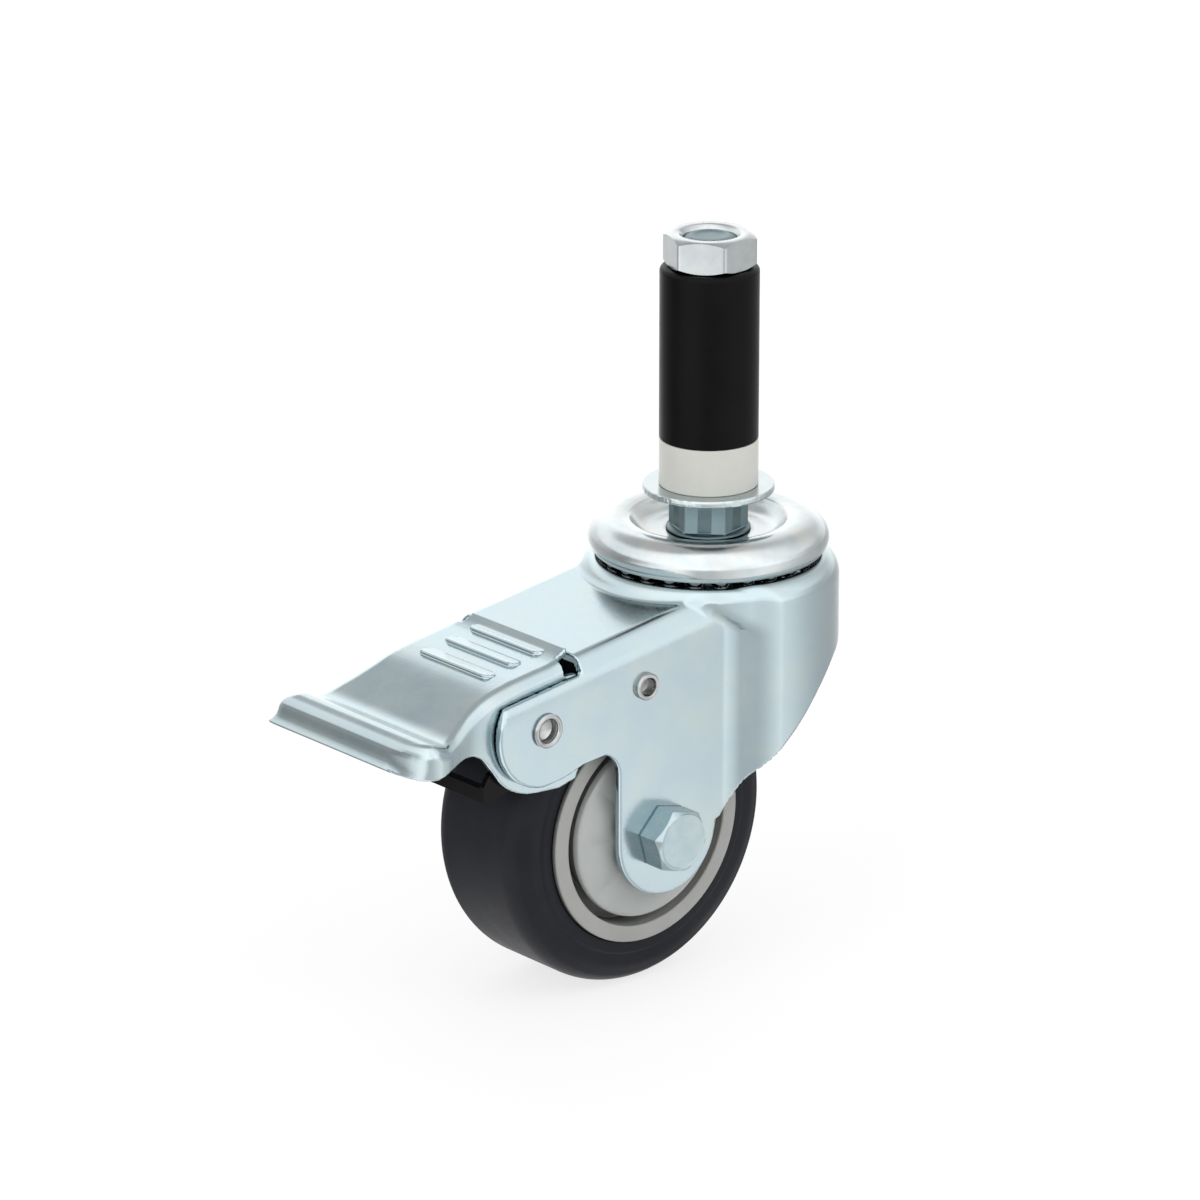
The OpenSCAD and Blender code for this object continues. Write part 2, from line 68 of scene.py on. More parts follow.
# Camera: the photograph's view, worked out from its circles
AZIMUTH, ELEVATION = math.radians(-40.7), math.radians(19.0)
CAMERA_AT = Vector((-1253.3, -1407.0, 611.1)) * MM

camera = bpy.data.objects.new("camera", bpy.data.cameras.new("camera"))
bpy.context.scene.collection.objects.link(camera)
right = Vector((math.cos(AZIMUTH), math.sin(AZIMUTH), 0))
back = Vector((math.sin(AZIMUTH) * math.cos(ELEVATION), -math.cos(AZIMUTH) * math.cos(ELEVATION),
               math.sin(ELEVATION)))
turn = Matrix((right, back.cross(right), back)).transposed().to_4x4()
camera.matrix_world = Matrix.Translation(CAMERA_AT) @ turn
camera.data.sensor_width = 36
camera.data.lens = 197.291
camera.data.clip_end = 20
bpy.context.scene.camera = camera
bpy.context.scene.view_settings.view_transform = "Standard"


def linear(code):
    """An sRGB hex code as the linear colour that the shaders take."""
    parts = [int(code[i:i + 2], 16) / 255 for i in (1, 3, 5)]
    return tuple(c / 12.92 if c < 0.04045 else ((c + 0.055) / 1.055) ** 2.4 for c in parts) + (1,)


def add(tree, kind, into=(), **settings):
    """Adds a node. into gives an input's name or number a value or another node's output."""
    node = tree.nodes.new("ShaderNode" + kind)
    for key, value in settings.items():
        setattr(node, key, value)
    for key, value in dict(into).items():
        if isinstance(value, bpy.types.NodeSocket):
            tree.links.new(value, node.inputs[key])
        else:
            node.inputs[key].default_value = value
    return node


def per_mm(size):
    """Noise scale at which one lump is about this many millimetres wide."""
    return 1 / (size * MM)


def finish_of(name, colours, metal, rough, spread, patch_mm, grain_mm, grain_height,
              stretch=(1, 1, 1), wave=0.0, painted_shade_mm=0.0, **constants):
    """A finish: patches of two or three colours, gloss that varies by spread, and a fine grain.
    Real sizes are in millimetres. stretch draws the grain out along an axis, wave is the height
    of gentle waves as wide as the patches, and painted shade darkens gaps narrower than
    painted_shade_mm."""
    mat = bpy.data.materials.new(name)
    mat.use_nodes = True
    tree = mat.node_tree
    shader = tree.nodes["Principled BSDF"]
    shader.inputs["Metallic"].default_value = metal
    for key, value in constants.items():
        shader.inputs[key.replace("_", " ")].default_value = value
    place = add(tree, "TexCoord").outputs["Object"]
    patches = add(tree, "TexNoise", {"Vector": place, "Scale": per_mm(patch_mm), "Detail": 4.0,
                                     "Roughness": 0.55})
    ramp = add(tree, "ValToRGB", {"Fac": patches.outputs["Fac"]})
    marks = ramp.color_ramp.elements
    marks[0].position, marks[1].position = 0.36, 0.64
    marks[0].color, marks[1].color = linear(colours[0]), linear(colours[-1])
    if len(colours) == 3:
        marks.new(0.5).color = linear(colours[1])
    colour = ramp.outputs["Color"]
    # Painted shade: the colour goes toward near black where ambient occlusion finds surfaces close
    # by.
    if painted_shade_mm:
        painted_shade_ao = add(tree, "AmbientOcclusion", {"Distance": painted_shade_mm * MM}, samples=8)
        clear = add(tree, "MapRange", {"Value": painted_shade_ao.outputs["AO"], "From Min": 0.42,
                                       "From Max": 0.82})
        colour = add(tree, "Mix", {0: clear.outputs["Result"], 6: linear("#0C0C0A"), 7: colour},
                     data_type="RGBA").outputs[2]
    tree.links.new(colour, shader.inputs["Base Color"])
    drawn = add(tree, "Mapping", {"Vector": place, "Scale": stretch})
    grain = add(tree, "TexNoise", {"Vector": drawn.outputs["Vector"], "Scale": per_mm(grain_mm),
                                   "Detail": 3.0, "Roughness": 0.6})
    blend = add(tree, "Mix", {0: 0.5, 2: patches.outputs["Fac"], 3: grain.outputs["Fac"]})
    gloss = add(tree, "MapRange", {"Value": blend.outputs[0], "From Min": 0.35, "From Max": 0.65,
                                   "To Min": rough - spread, "To Max": rough + spread})
    tree.links.new(gloss.outputs["Result"], shader.inputs["Roughness"])
    relief = add(tree, "Math", {0: patches.outputs["Fac"], 1: wave / grain_height,
                                2: grain.outputs["Fac"]}, operation="MULTIPLY_ADD")
    bump = add(tree, "Bump", {"Height": relief.outputs[0], "Distance": grain_height * MM,
                              "Strength": 1.0})
    tree.links.new(bump.outputs["Normal"], shader.inputs["Normal"])
    return mat


# Bright zinc plate over cold-rolled sheet, pressed: soft reflections, a pale blue cast that
# shifts a little in patches, and the very fine tooth of the rolled sheet.
zinc_pressed = finish_of("zinc_plate_pressed_sheet", ("#ABBBC1", "#AEBDC2", "#B2BFC1"), 1.0, 0.2,
                         0.05, 14, 0.8, 0.012, wave=0.06)
# The cover is plated with its own batch: less blue, a little coarser, and with painted shade in its
# corners.
zinc_cover = finish_of("zinc_plate_rolled_cover", ("#B7C0C3", "#BFC5C6", "#C6C8C6"), 1.0, 0.2,
                       0.06, 9, 0.8, 0.018, wave=0.07, painted_shade_mm=4)
# The same plate on turned bar: brighter, with fine rings of the lathe.
zinc_turned = finish_of("zinc_plate_turned_bar", ("#B4BEC0", "#BEC5C5"), 1.0, 0.22, 0.05, 9, 0.35,
                        0.006, stretch=(0.2, 0.2, 1))
# The same plate on a cold-forged bolt: bluer, a little rougher.
zinc_bolt = finish_of("zinc_plate_forged_bolt", ("#9FB0B5", "#A6B5B9", "#B0BABB"), 1.0, 0.25, 0.05,
                      7, 0.5, 0.012, wave=0.02)
# The same on the stem's forged hexagon, with painted shade: darker for the shade under the disc. The
# roughest plate here.
zinc_hexagon_painted_shade = finish_of("zinc_plate_stem_hexagon_painted_shade", ("#71858A", "#7A8C90"), 1.0, 0.42, 0.05,
                         7, 0.6, 0.015, wave=0.02)
# Nickel plate on the machined nut: whiter and smoother.
nut_steel = finish_of("nickel_plate_machined_nut", ("#B2B7B9", "#BDC1C2"), 1.0, 0.2, 0.05, 6, 0.3,
                      0.005)
# Hardened and ground bearing steel.
race_steel = finish_of("ground_bearing_steel", ("#8F9294", "#A0A3A4"), 1.0, 0.3, 0.06, 8, 0.3, 0.004)
# Polished steel balls, darker than the races: only small glints show.
ball_steel = finish_of("polished_steel_balls", ("#6C6F70", "#7A7C7D"), 1.0, 0.12, 0.03, 4, 0.4,
                       0.001)
# Nickel plate on the rolled rims of the tubular rivets: neutral, darker, glossy.
rivet_nickel = finish_of("nickel_plate_rolled_rivet", ("#A1A3A3", "#B2B3B2"), 1.0, 0.16, 0.04, 3,
                         0.3, 0.004)
# Moulded rubber of the expander: near black, smooth, with a soft sheen.
rubber_black = finish_of("moulded_black_rubber", ("#09090B", "#0E0E10"), 0.0, 0.35, 0.05, 12, 0.5,
                         0.01, Specular_IOR_Level=0.08)
# Moulded polyamide spacer: warm off-white with a soft gloss.
spacer_white = finish_of("moulded_white_polyamide", ("#E3E3DC", "#E8E8E2"), 0.0, 0.38, 0.05, 14,
                         0.6, 0.006)
# Injection-moulded polypropylene guards and rim: warm grey with a fine spark texture,
# and painted shade in the narrow gaps.
guard_grey = finish_of("moulded_grey_polypropylene_guard", ("#C6CAC8", "#CED1CE"), 0.0, 0.42, 0.05,
                       16, 0.45, 0.02, painted_shade_mm=3)
rim_grey = finish_of("moulded_grey_polypropylene_rim", ("#B6B7B3", "#BEBFBB"), 0.0, 0.4, 0.05, 16,
                     0.45, 0.02, painted_shade_mm=6)
# Thermoplastic rubber tyre: charcoal with a blue cast, matte, fine moulding grain.
tyre_charcoal = finish_of("moulded_charcoal_rubber_tyre", ("#1D1E24", "#25262C"), 0.0, 0.5, 0.07,
                          15, 0.6, 0.03, Specular_IOR_Level=0.15)
# Cathodic dip paint on the pressed yoke: black, semi-gloss.
yoke_black = finish_of("black_dip_paint", ("#020202", "#040404"), 0.0, 0.2, 0.05, 8, 0.5, 0.008,
                       Specular_IOR_Level=0.12)
# Moulded friction pad: near black and dull.
pad_black = finish_of("moulded_black_brake_pad", ("#0C0C0D", "#131314"), 0.0, 0.6, 0.06, 6, 0.6,
                      0.03)

SLOTS = {
    "zinc_pressed": zinc_pressed, "zinc_turned": zinc_turned, "zinc_bolt": zinc_bolt,
    "nut_steel": nut_steel, "race_steel": race_steel, "ball_steel": ball_steel,
    "rivet_nickel": rivet_nickel, "rubber_black": rubber_black, "spacer_white": spacer_white,
    "guard_grey": guard_grey, "rim_grey": rim_grey, "tyre_charcoal": tyre_charcoal,
    "yoke_black": yoke_black, "pad_black": pad_black}
for part in frame["record"]["subparts"]:
    mesh = frame["nodes"][part["node"]].data
    mesh.materials.clear()
    mesh.materials.append(SLOTS[part["material_slot"]])


def piece(name, points, faces, normals, slot, body, stands_for=(), finish=None):
    """A mesh in millimetres becomes a piece of the scene that rides on its body."""
    mesh = bpy.data.meshes.new(name)
    mesh.from_pydata([tuple(p) for p in np.asarray(points, float) * MM], [], faces)
    mesh.validate()
    mesh.update()
    if normals is None:
        form = bmesh.new()
        form.from_mesh(mesh)
        bmesh.ops.recalc_face_normals(form, faces=form.faces)
        form.to_mesh(mesh)
        form.free()
    mesh.shade_smooth()
    if normals is not None:
        mesh.normals_split_custom_set_from_vertices([tuple(n) for n in normals])
    else:
        mesh.set_sharp_from_angle(angle=math.radians(38))
    mesh.materials.append(finish or SLOTS[slot])
    obj = bpy.data.objects.new(name, mesh)
    bpy.context.scene.collection.objects.link(obj)
    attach(obj, body)
    if stands_for:
        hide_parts(*stands_for)


# Sheet metal is described by a field: the distance to its surface, negative inside.

def both(a, b, r):
    """Where two fields overlap, with the edge between them rounded by r."""
    return (np.minimum(np.maximum(a, b), -r)
            + np.hypot(np.maximum(a + r, 0), np.maximum(b + r, 0)))


def either(a, b, r):
    """Two fields joined, with the corner between them filled by a fillet r."""
    return -both(-a, -b, r)


def outline(points, spacing=0.3, margin=12):
    """Signed distance to a closed outline, kept on a fine raster and read between its points."""
    p = np.asarray(points, float)
    low, high = p.min(0) - margin, p.max(0) + margin
    n = np.ceil((high - low) / spacing).astype(int) + 2
    u, v = np.meshgrid(low[0] + spacing * np.arange(n[0]), low[1] + spacing * np.arange(n[1]),
                       indexing="ij")
    near = np.full(u.shape, 1e9)
    crossed = np.zeros(u.shape, bool)
    for a, b in zip(p, np.roll(p, -1, 0)):
        e = b - a
        t = np.clip(((u - a[0]) * e[0] + (v - a[1]) * e[1]) / (e @ e), 0, 1)
        near = np.minimum(near, (u - a[0] - t * e[0]) ** 2 + (v - a[1] - t * e[1]) ** 2)
        if a[1] != b[1]:
            span = (v >= min(a[1], b[1])) & (v < max(a[1], b[1]))
            crossed ^= span & (u < a[0] + (v - a[1]) * e[0] / e[1])
    raster = np.where(crossed, -1, 1) * np.sqrt(near)

    def field(x, y):
        i = np.clip((x - low[0]) / spacing, 0, n[0] - 1.001)
        j = np.clip((y - low[1]) / spacing, 0, n[1] - 1.001)
        i, j = np.broadcast_arrays(i, j)
        i0, j0 = i.astype(int), j.astype(int)
        s, t = i - i0, j - j0
        return ((raster[i0, j0] * (1 - s) + raster[i0 + 1, j0] * s) * (1 - t)
                + (raster[i0, j0 + 1] * (1 - s) + raster[i0 + 1, j0 + 1] * s) * t)
    return field


def arc(centre, r, a0, a1, n=16):
    """Points on an arc, angles in degrees."""
    return [(centre[0] + r * math.cos(math.radians(a)), centre[1] + r * math.sin(math.radians(a)))
            for a in np.linspace(a0, a1, n + 1)]


def curve(points, n=8):
    """A smooth line through the points, without loops where their spacing changes."""
    p = np.asarray(points, float)
    gap = np.linalg.norm(np.diff(p, axis=0), axis=1)
    way = np.diff(p, axis=0) / gap[:, None]
    along = (way[:-1] * gap[1:, None] + way[1:] * gap[:-1, None]) / (gap[1:] + gap[:-1])[:, None]
    along = np.vstack([way[0], along, way[-1]])
    out = []
    for i, span in enumerate(gap):
        for t in np.arange(n) / n:
            a, b = (1 + 2 * t) * (1 - t) ** 2, t * t * (3 - 2 * t)
            c, d = t * (1 - t) ** 2 * span, t * t * (t - 1) * span
            out.append(tuple(a * p[i] + b * p[i + 1] + c * along[i] + d * along[i + 1]))
    return out + [tuple(p[-1])]


def skin(field, low, high, step):
    """Points, faces and normals of the surface where the field is zero."""
    n = [int((high[i] - low[i]) / step) + 2 for i in range(3)]
    axes = [low[i] + step * np.arange(n[i]) for i in range(3)]
    inside = field(axes[0][:, None, None], axes[1][None, :, None], axes[2][None, None, :]) < 0
    cells = np.zeros([k - 1 for k in n], np.int8)
    for dx in (0, 1):
        for dy in (0, 1):
            for dz in (0, 1):
                cells += inside[dx:n[0] - 1 + dx, dy:n[1] - 1 + dy, dz:n[2] - 1 + dz]
    cut = (cells > 0) & (cells < 8)
    number = np.full(cut.shape, -1)
    number[cut] = np.arange(cut.sum())
    points = np.argwhere(cut) * step + np.array(low) + step / 2
    faces = []
    for a in range(3):
        b, c = (a + 1) % 3, (a + 2) % 3
        s0, s1 = (np.take(inside, range(k, n[a] - 1 + k), a) for k in (0, 1))
        at = np.argwhere(s0 != s1)
        at = at[(at[:, b] > 0) & (at[:, c] > 0) & (at[:, b] < n[b] - 1) & (at[:, c] < n[c] - 1)]
        quad = []
        for db, dc in ((0, 0), (-1, 0), (-1, -1), (0, -1)):
            m = at.copy()
            m[:, b] += db
            m[:, c] += dc
            quad.append(number[tuple(m.T)])
        quad = np.stack(quad, 1)
        flip = ~s0[tuple(at.T)]
        quad[flip] = quad[flip][:, ::-1]
        faces.append(quad)
    faces = np.vstack(faces)

    def slope(p):
        h = 0.05
        g = [field(*(p + h * e).T) - field(*(p - h * e).T) for e in np.eye(3)]
        return np.stack(g, 1) / (2 * h)

    def settle(p, rounds):
        for _ in range(rounds):
            g = slope(p)
            move = field(*p.T) / np.maximum((g * g).sum(1), 0.2)
            p = p - np.clip(move, -step, step)[:, None] * g
        return p

    points = settle(points, 3)
    for _ in range(3):
        total, count = np.zeros_like(points), np.zeros(len(points))
        for k in range(4):
            for m in (1, 3):
                np.add.at(total, faces[:, k], points[faces[:, (k + m) % 4]])
                np.add.at(count, faces[:, k], 1)
        points = settle(points + 0.6 * (total / count[:, None] - points), 2)
    g = slope(points)
    return points, faces.tolist(), g / np.linalg.norm(g, axis=1)[:, None]


def bell_wall(x, y, z):
    """The bell: shoulder and wall, cut by the flare wall that runs out from the leg."""
    wall = both(np.sqrt(x * x + y * y) - BELL_R, z - CROWN_Z, 6.5)
    flare = -0.74 * (x + 17) + 0.673 * (y - LEG_OUT)
    return both(both(wall, flare, 2.5), -26 - x, 2.0)


# Side view of the fork: the bell's lower edge, the leg's rear edge, the foot, the arch, the ear
fork_side = outline(
    [(-108, -10), (46, -10), (46, -45.4)]
    + curve([(45, -45.6), (27.3, -49.1), (20.4, -51.9), (14.6, -55.9), (2, -67.5), (-9, -77.8),
             (-12.6, -81.6), (-16.4, -88), (-20.6, -94)], 4)[1:]
    + arc(FOOT, FOOT_R, -1, -180, 28)
    + arc((-68.5, -71.4), 8, 0, 72, 10)
    + curve([(-74.5, -64.6), (-82.5, -67.0), (-90, -67.9)], 4)
    + arc(PIVOT, EAR_R, 262, 150, 20))


def fork_field(x, y, z):
    y = np.abs(y)
    radius = np.sqrt(x * x + y * y)
    roof = (z - ROOF_Z - math.tan(ROOF_SLOPE) * (x - ROOF_X)) * math.cos(ROOF_SLOPE)
    # Roof and leg meet in a bend that is a quarter of an ellipse
    wide = np.maximum(y - LEG_OUT + BEND_WIDE, 0.004) / BEND_WIDE
    high = np.maximum(roof + BEND_HIGH, 0) / BEND_HIGH
    reach = np.hypot(wide, high)
    bend = (reach - 1) * reach / np.hypot(wide / BEND_WIDE, high / BEND_HIGH)
    tunnel = both(bend, x - 2, 2.0)
    dome = both(radius - 38.2, z - CROWN_Z, 4.5)
    dome = both(dome, -0.45 * np.maximum(x + 24, 0) - 0.89 * (z + 30), 4.0)
    outer = either(either(tunnel, bell_wall(x, y, z), 2.5), dome, 2.0)
    sheet = both(outer, -outer - SHEET, 0.4)
    crown = both(both(z - CROWN_Z, CROWN_UNDER - z, 0.4), radius - 30, 0.4)
    form = either(sheet, crown, 1.5)
    ahead = x - EARS_X
    form = both(form, -both(ahead, y - LEG_IN, 0.8), 0.4)
    form = both(form, -both(ahead, -(roof + 5.0), 1.5), 0.4)
    form = both(form, fork_side(x, z), 0.85)
    groove = np.hypot(radius - BALL_RING, z - BALL_Z) - BALL_R - 0.02
    form = both(form, -groove, 0.2)
    form = both(form, EYE_R - radius, 0.3)
    for hole, r in ((AXLE, 6.1), (PIVOT, 4.4), (HANG, 3.2)):
        form = both(form, r - np.hypot(x - hole[0], z - hole[1]), 0.2)
    return form


fork_skin = skin(fork_field, (-108, -42, -116), (42, 42, -19), 0.74)
piece("fork_pressing", *fork_skin, "zinc_pressed", "fork", ["fork_frame"])


# The pedal's top line in the side view, from its rear edge to the lip, about the pivot
PEDAL_TOP = [(13.8, 20), (11.6, 18.8), (8.8, 17.9), (0.6, 16.6), (-9.5, 15.1), (-17.2, 13.3),
             (-24.2, 10.4), (-31.2, 6.9), (-35.2, 5.2), (-38.8, 4.7), (-41.8, 5.6), (-44.4, 6.5),
             (-46.8, 6.4), (-48.7, 5.3), (-49.9, 3.6)]
# The lip's face is hollow: it drops almost straight and then runs out to its edge
LIP_FACE = [(-50.3, 2.2), (-50.5, 0.9), (-50.9, -0.5), (-51.7, -1.8), (-52.9, -2.9)]


def about_pivot(points):
    return [(x + PIVOT[0], z + PIVOT[1]) for x, z in points]


pedal_solid = outline(about_pivot(curve(PEDAL_TOP, 6) + curve(LIP_FACE, 4)
                                  + [(-53.2, -3.6), (-56, -40), (40, -40), (40, 24)]))
pedal_trim = outline(about_pivot(
    [(14.4, 30), (14.4, -6), (14.8, -11), (15.2, -16.6), (13.9, -19.3), (7.5, -20.9)]
    + arc((0, 0), 20.4, -90, -138, 10)
    + curve([(-18.0, -9.6), (-21.5, -5.2), (-25.6, -2.9), (-30.2, -2.2), (-34.5, -2.5), (-38.8, -2.9),
             (-43.4, -3.6), (-50.2, -3.4), (-53, -3.0)], 4) + [(-60, -1), (-60, 30)]))
# Its edges in plan, near and far: the lip's near corner is round, the far one runs out to a point
NEAR_EDGE = curve([(14.8, FLANGE_OUT), (-16, FLANGE_OUT), (-21, 26.3), (-26, 27.1), (-31, 28.8),
                   (-36, 31), (-40.5, 33), (-44.5, 33.7), (-48, 32), (-50.6, 28.6),
                   (-52.6, 23.6), (-54.4, 18)], 5)
FAR_EDGE = curve([(14.8, FLANGE_OUT), (-16, FLANGE_OUT), (-21, 26.4), (-26, 27.6), (-31, 29.5),
                  (-36, 30.6), (-41, 30.4), (-44.5, 31.2), (-47, 33.4), (-49.4, 36.6),
                  (-51.4, 38.7), (-53, 38.2), (-54.6, 34)], 5)
pedal_plan = outline([(x + PIVOT[0], y) for x, y in [(60, FLANGE_OUT)] + FAR_EDGE]
                     + [(x + PIVOT[0], -y) for x, y in NEAR_EDGE[::-1] + [(60, FLANGE_OUT)]])
TREADS = [(-9.4, 15.1), (0.3, 16.6), (9.8, 18.0)]


def pedal_field(x, y, z):
    outer = both(pedal_solid(x, z), pedal_plan(x, y), 4.0)
    y = np.abs(y)
    form = both(outer, -outer - PEDAL_T, 0.4)
    form = both(form, pedal_trim(x, z), 0.5)
    corner = both(both(-79.3 - x, 21.5 - y, 1.0), -37 - z, 1.0)
    form = both(form, -corner, 0.4)
    for tread_x, tread_z in TREADS:
        px, pz = x - PIVOT[0] - tread_x, z - PIVOT[1] - tread_z
        along, up = 0.989 * px + 0.149 * pz, 0.989 * pz - 0.149 * px
        flat = np.hypot(along, np.maximum(y - 13.5, 0)) - 2.4
        rib = both(both(flat, up - 0.6 + 0.24 * along, 0.4), -up - 1.2, 0.1)
        form = either(form, rib, 0.25)
    return both(form, 4.46 - np.hypot(x - PIVOT[0], z - PIVOT[1]), 0.2)


pedal_skin = skin(pedal_field, (-146, -38, -76), (-66, 41, -27), 0.68)
piece("pedal_pressing", *pedal_skin, "zinc_pressed", "pedal", ["pedal"])


# Turned and moulded pieces: a section spun round an axis

def soften(section, n=5):
    """A section whose corners (x, y, radius) are rounded."""
    out = []
    count = len(section)
    for i, (x, y, r) in enumerate(section):
        p = np.array((x, y))
        a = np.array(section[i - 1][:2]) - p
        b = np.array(section[(i + 1) % count][:2]) - p
        if r <= 0:
            out.append((x, y))
            continue
        a, b = a / np.linalg.norm(a), b / np.linalg.norm(b)
        half = math.acos(max(-1, min(1, a @ b))) / 2
        reach = r / math.tan(half)
        start, end = p + a * reach, p + b * reach
        middle = p + (a + b) / np.linalg.norm(a + b) * r / math.sin(half)
        for t in np.arange(n + 1) / n:
            q = start * (1 - t) + end * t - middle
            out.append(tuple(middle + q / np.linalg.norm(q) * r))
    return out


def spun(section, around=96, across=0, phase=0, shape=None):
    """Points and faces of a closed section (radius, height) spun round Z. For a hexagon, across is
    its width over the flats and section gives the points for the hexagon's radius at an angle.
    shape may move the points."""
    angle = 2 * math.pi * np.arange(around) / around
    if across:
        turns = angle[:, None] - math.radians(phase) - np.arange(6) * math.pi / 3
        radii = across / 2 * (np.maximum(np.cos(turns), 0) ** 70).sum(1) ** (-1 / 70)
        rows = np.array([section(r) for r in radii])
    else:
        rows = np.repeat(np.array(section, float)[None], around, 0)
    points, first = [], []
    for i in range(rows.shape[1]):
        first.append(len(points))
        if rows[0, i, 0] < 1e-6:
            points.append((0, 0, rows[0, i, 1]))
        else:
            r, h = rows[:, i, 0], rows[:, i, 1]
            points += list(zip(r * np.cos(angle), r * np.sin(angle), h))
    poles = rows[0, :, 0] < 1e-6
    faces = []
    for i, low in enumerate(first):
        j = (i + 1) % len(first)
        high = first[j]
        for k in range(around):
            m = (k + 1) % around
            if poles[i] and not poles[j]:
                faces.append((low, high + m, high + k))
            elif poles[j] and not poles[i]:
                faces.append((low + k, low + m, high))
            elif not poles[i]:
                faces.append((low + k, low + m, high + m, high + k))
    points = np.array(points, float)
    return (shape(points) if shape else points), faces


def along_y(points, near=True, centre=AXLE):
    """Lays points that were spun round Z along Y. Their height runs outward on one side."""
    side = -1 if near else 1
    laid = np.stack([points[:, 0], side * points[:, 2], -side * points[:, 1]], 1)
    return laid + np.array((centre[0], 0, centre[1]))


def turned(name, section, slot, body, stands_for=(), lay=None, finish=None, **how):
    points, faces = spun(section, **how)
    if lay:
        points = lay(points)
    piece(name, points, faces, None, slot, body, stands_for, finish)


# Stem
def nut_section(r):
    edge = (r - 12.1) * 0.577
    return [(8.1, 0), (12.1, 0), (r, edge), (r, NUT_H - edge), (12.1, NUT_H), (9.5, NUT_H),
            (9.3, NUT_H - 0.15), (8.3, NUT_H - 1.1), (8.1, NUT_H - 1.4)]


def raised(height):
    return lambda points: points + np.array((0, 0, height))


turned("nut_on_stem", nut_section, "nut_steel", "stem", ["stem_nut"], raised(NUT_Z), around=240,
       across=NUT_AF, phase=37.3)


def stud_section(r):
    return [(0, -43.5), (8, -43.5), (8, DISH_Z), (12.3, DISH_Z), (12.8, DISH_Z + 0.4),
            (12.7, DISH_Z + 0.9), (12.2, DISH_Z + 1.3), (r + 0.2, DISH_Z + 1.35),
            (r, DISH_Z + 1.6), (r, -2.3), (r - 0.3, -2), (8, -2), (8, 75.9), (7.6, 76.6),
            (6.6, 77.2), (5.2, 77.4), (4.6, 77.1), (2.2, 77.0), (0, 77.1)]


turned("stem_and_hexagon", stud_section, "zinc_turned", "stem", ["stem_stud"],
       finish=zinc_hexagon_painted_shade, around=240, across=BASE_AF, phase=42)
turned("sleeve_moulding", soften([(8.1, SPACER_H, 0), (15, SPACER_H, 0.5), (15, 67.9, 1.6),
                                  (8.1, 67.9, 0.3)], 6),
       "rubber_black", "stem", ["expander_sleeve"], around=128)
turned("spacer_moulding", soften([(8.1, -0.3, 0), (14.4, -0.3, 0), (14.4, 0, 0), (15, 0, 0.3),
                                  (15, SPACER_H, 0.3), (8.1, SPACER_H, 0)], 4),
       "spacer_white", "stem", ["spacer_ring"], around=128)

SHEAR_MARKS = 180
# The same marks at every run
chance = np.random.default_rng(7)


def sheared(points):
    """The shearing die leaves fine upright marks on the disc's edge."""
    r = np.hypot(points[:, 0], points[:, 1])
    marks = chance.uniform(-0.16, 0.02, SHEAR_MARKS)
    marks = np.where(chance.uniform(0, 1, SHEAR_MARKS) < 0.5, marks, 0)
    share = np.arctan2(points[:, 1], points[:, 0]) / (2 * math.pi)
    mark = np.round(share * SHEAR_MARKS).astype(int) % SHEAR_MARKS
    scale = np.where(r > DISC_R - 0.05, 1 + marks[mark] / DISC_R, 1)
    return points * np.stack([scale, scale, np.ones_like(scale)], 1)


turned("disc_blank", [(8.1, -2), (19.5, -2), (19.85, -1.9), (20, -1.6), (20, -1.1), (20, -0.6),
                      (19.9, -0.25), (19.6, 0), (15.1, 0), (15.1, -0.3), (8.1, -0.3)],
       "zinc_turned", "stem", ["stop_disc"], around=360, shape=sheared)

# Swivel head: the rolled cover, from the lip of its dish over the crest to the lower edge
COVER_OUTSIDE = (curve([(16.8, -14.4), (18.8, -14.2), (20.8, -13.5), (22.5, -12.2),
                        (23.7, -10.9)], 4)
                 + curve([(24.1, -10.5), (26, -10.05), (28.6, -9.9), (31.6, -10.5), (34.3, -12.1),
                          (36.1, -14.4), (36.6, -16.6), (36.1, -18.6), (34.9, -20.4)], 5))
COVER_INSIDE = curve([(33.9, -19.6), (34.9, -18.2), (35.1, -16.5), (34.6, -14.7), (33.2, -13.1),
                      (31, -11.9), (28.6, -11.4), (25.9, -11.6), (24.5, -12.3), (23.0, -13.8),
                      (21.4, -15.2), (19.2, -15.9)], 5)
turned("rolled_cover", [(8.1, DISH_Z)] + COVER_OUTSIDE + COVER_INSIDE + [(8.1, -15.9)],
       "zinc_pressed", "stem", ["top_cover"], finish=zinc_cover, around=160)


def ring_of_balls(name, count, ring, height, r, body, stands_for):
    """Every ball of one row, as one mesh."""
    points, faces = spun(arc((0, 0), r, -90, 90, 12), around=24)
    all_points, all_faces = [], []
    for k in range(count):
        a = 2 * math.pi * k / count
        start = sum(len(p) for p in all_points)
        all_points.append(points + np.array((ring * math.cos(a), ring * math.sin(a), height)))
        all_faces += [tuple(v + start for v in face) for face in faces]
    piece(name, np.vstack(all_points), all_faces, None, "ball_steel", body, [stands_for])


ring_of_balls("row_of_balls", 26, BALL_RING, BALL_Z, BALL_R, "fork", "upper_balls")

# Axle: forged bolt through both legs, its head near, its nut far
BOLT_FACE, BOLT_END = 8.5, -2 * LEG_OUT - 14


def bolt_section(r):
    return ([(0, BOLT_END), (4.9, BOLT_END), (5.9, BOLT_END + 1), (5.3, BOLT_END + 1.6),
             (6, BOLT_END + 2.3), (6, 0), (r - 0.5, 0), (r, 0.5)]
            + [(r, BOLT_FACE - 0.5 - (r - 8.6) * 0.6), (r - 0.25, BOLT_FACE - 0.3 - (r - 8.6) * 0.6),
               (8.6, BOLT_FACE), (8.1, BOLT_FACE), (7.9, BOLT_FACE - 0.12),
               (7.6, BOLT_FACE - 0.12), (0, BOLT_FACE)])


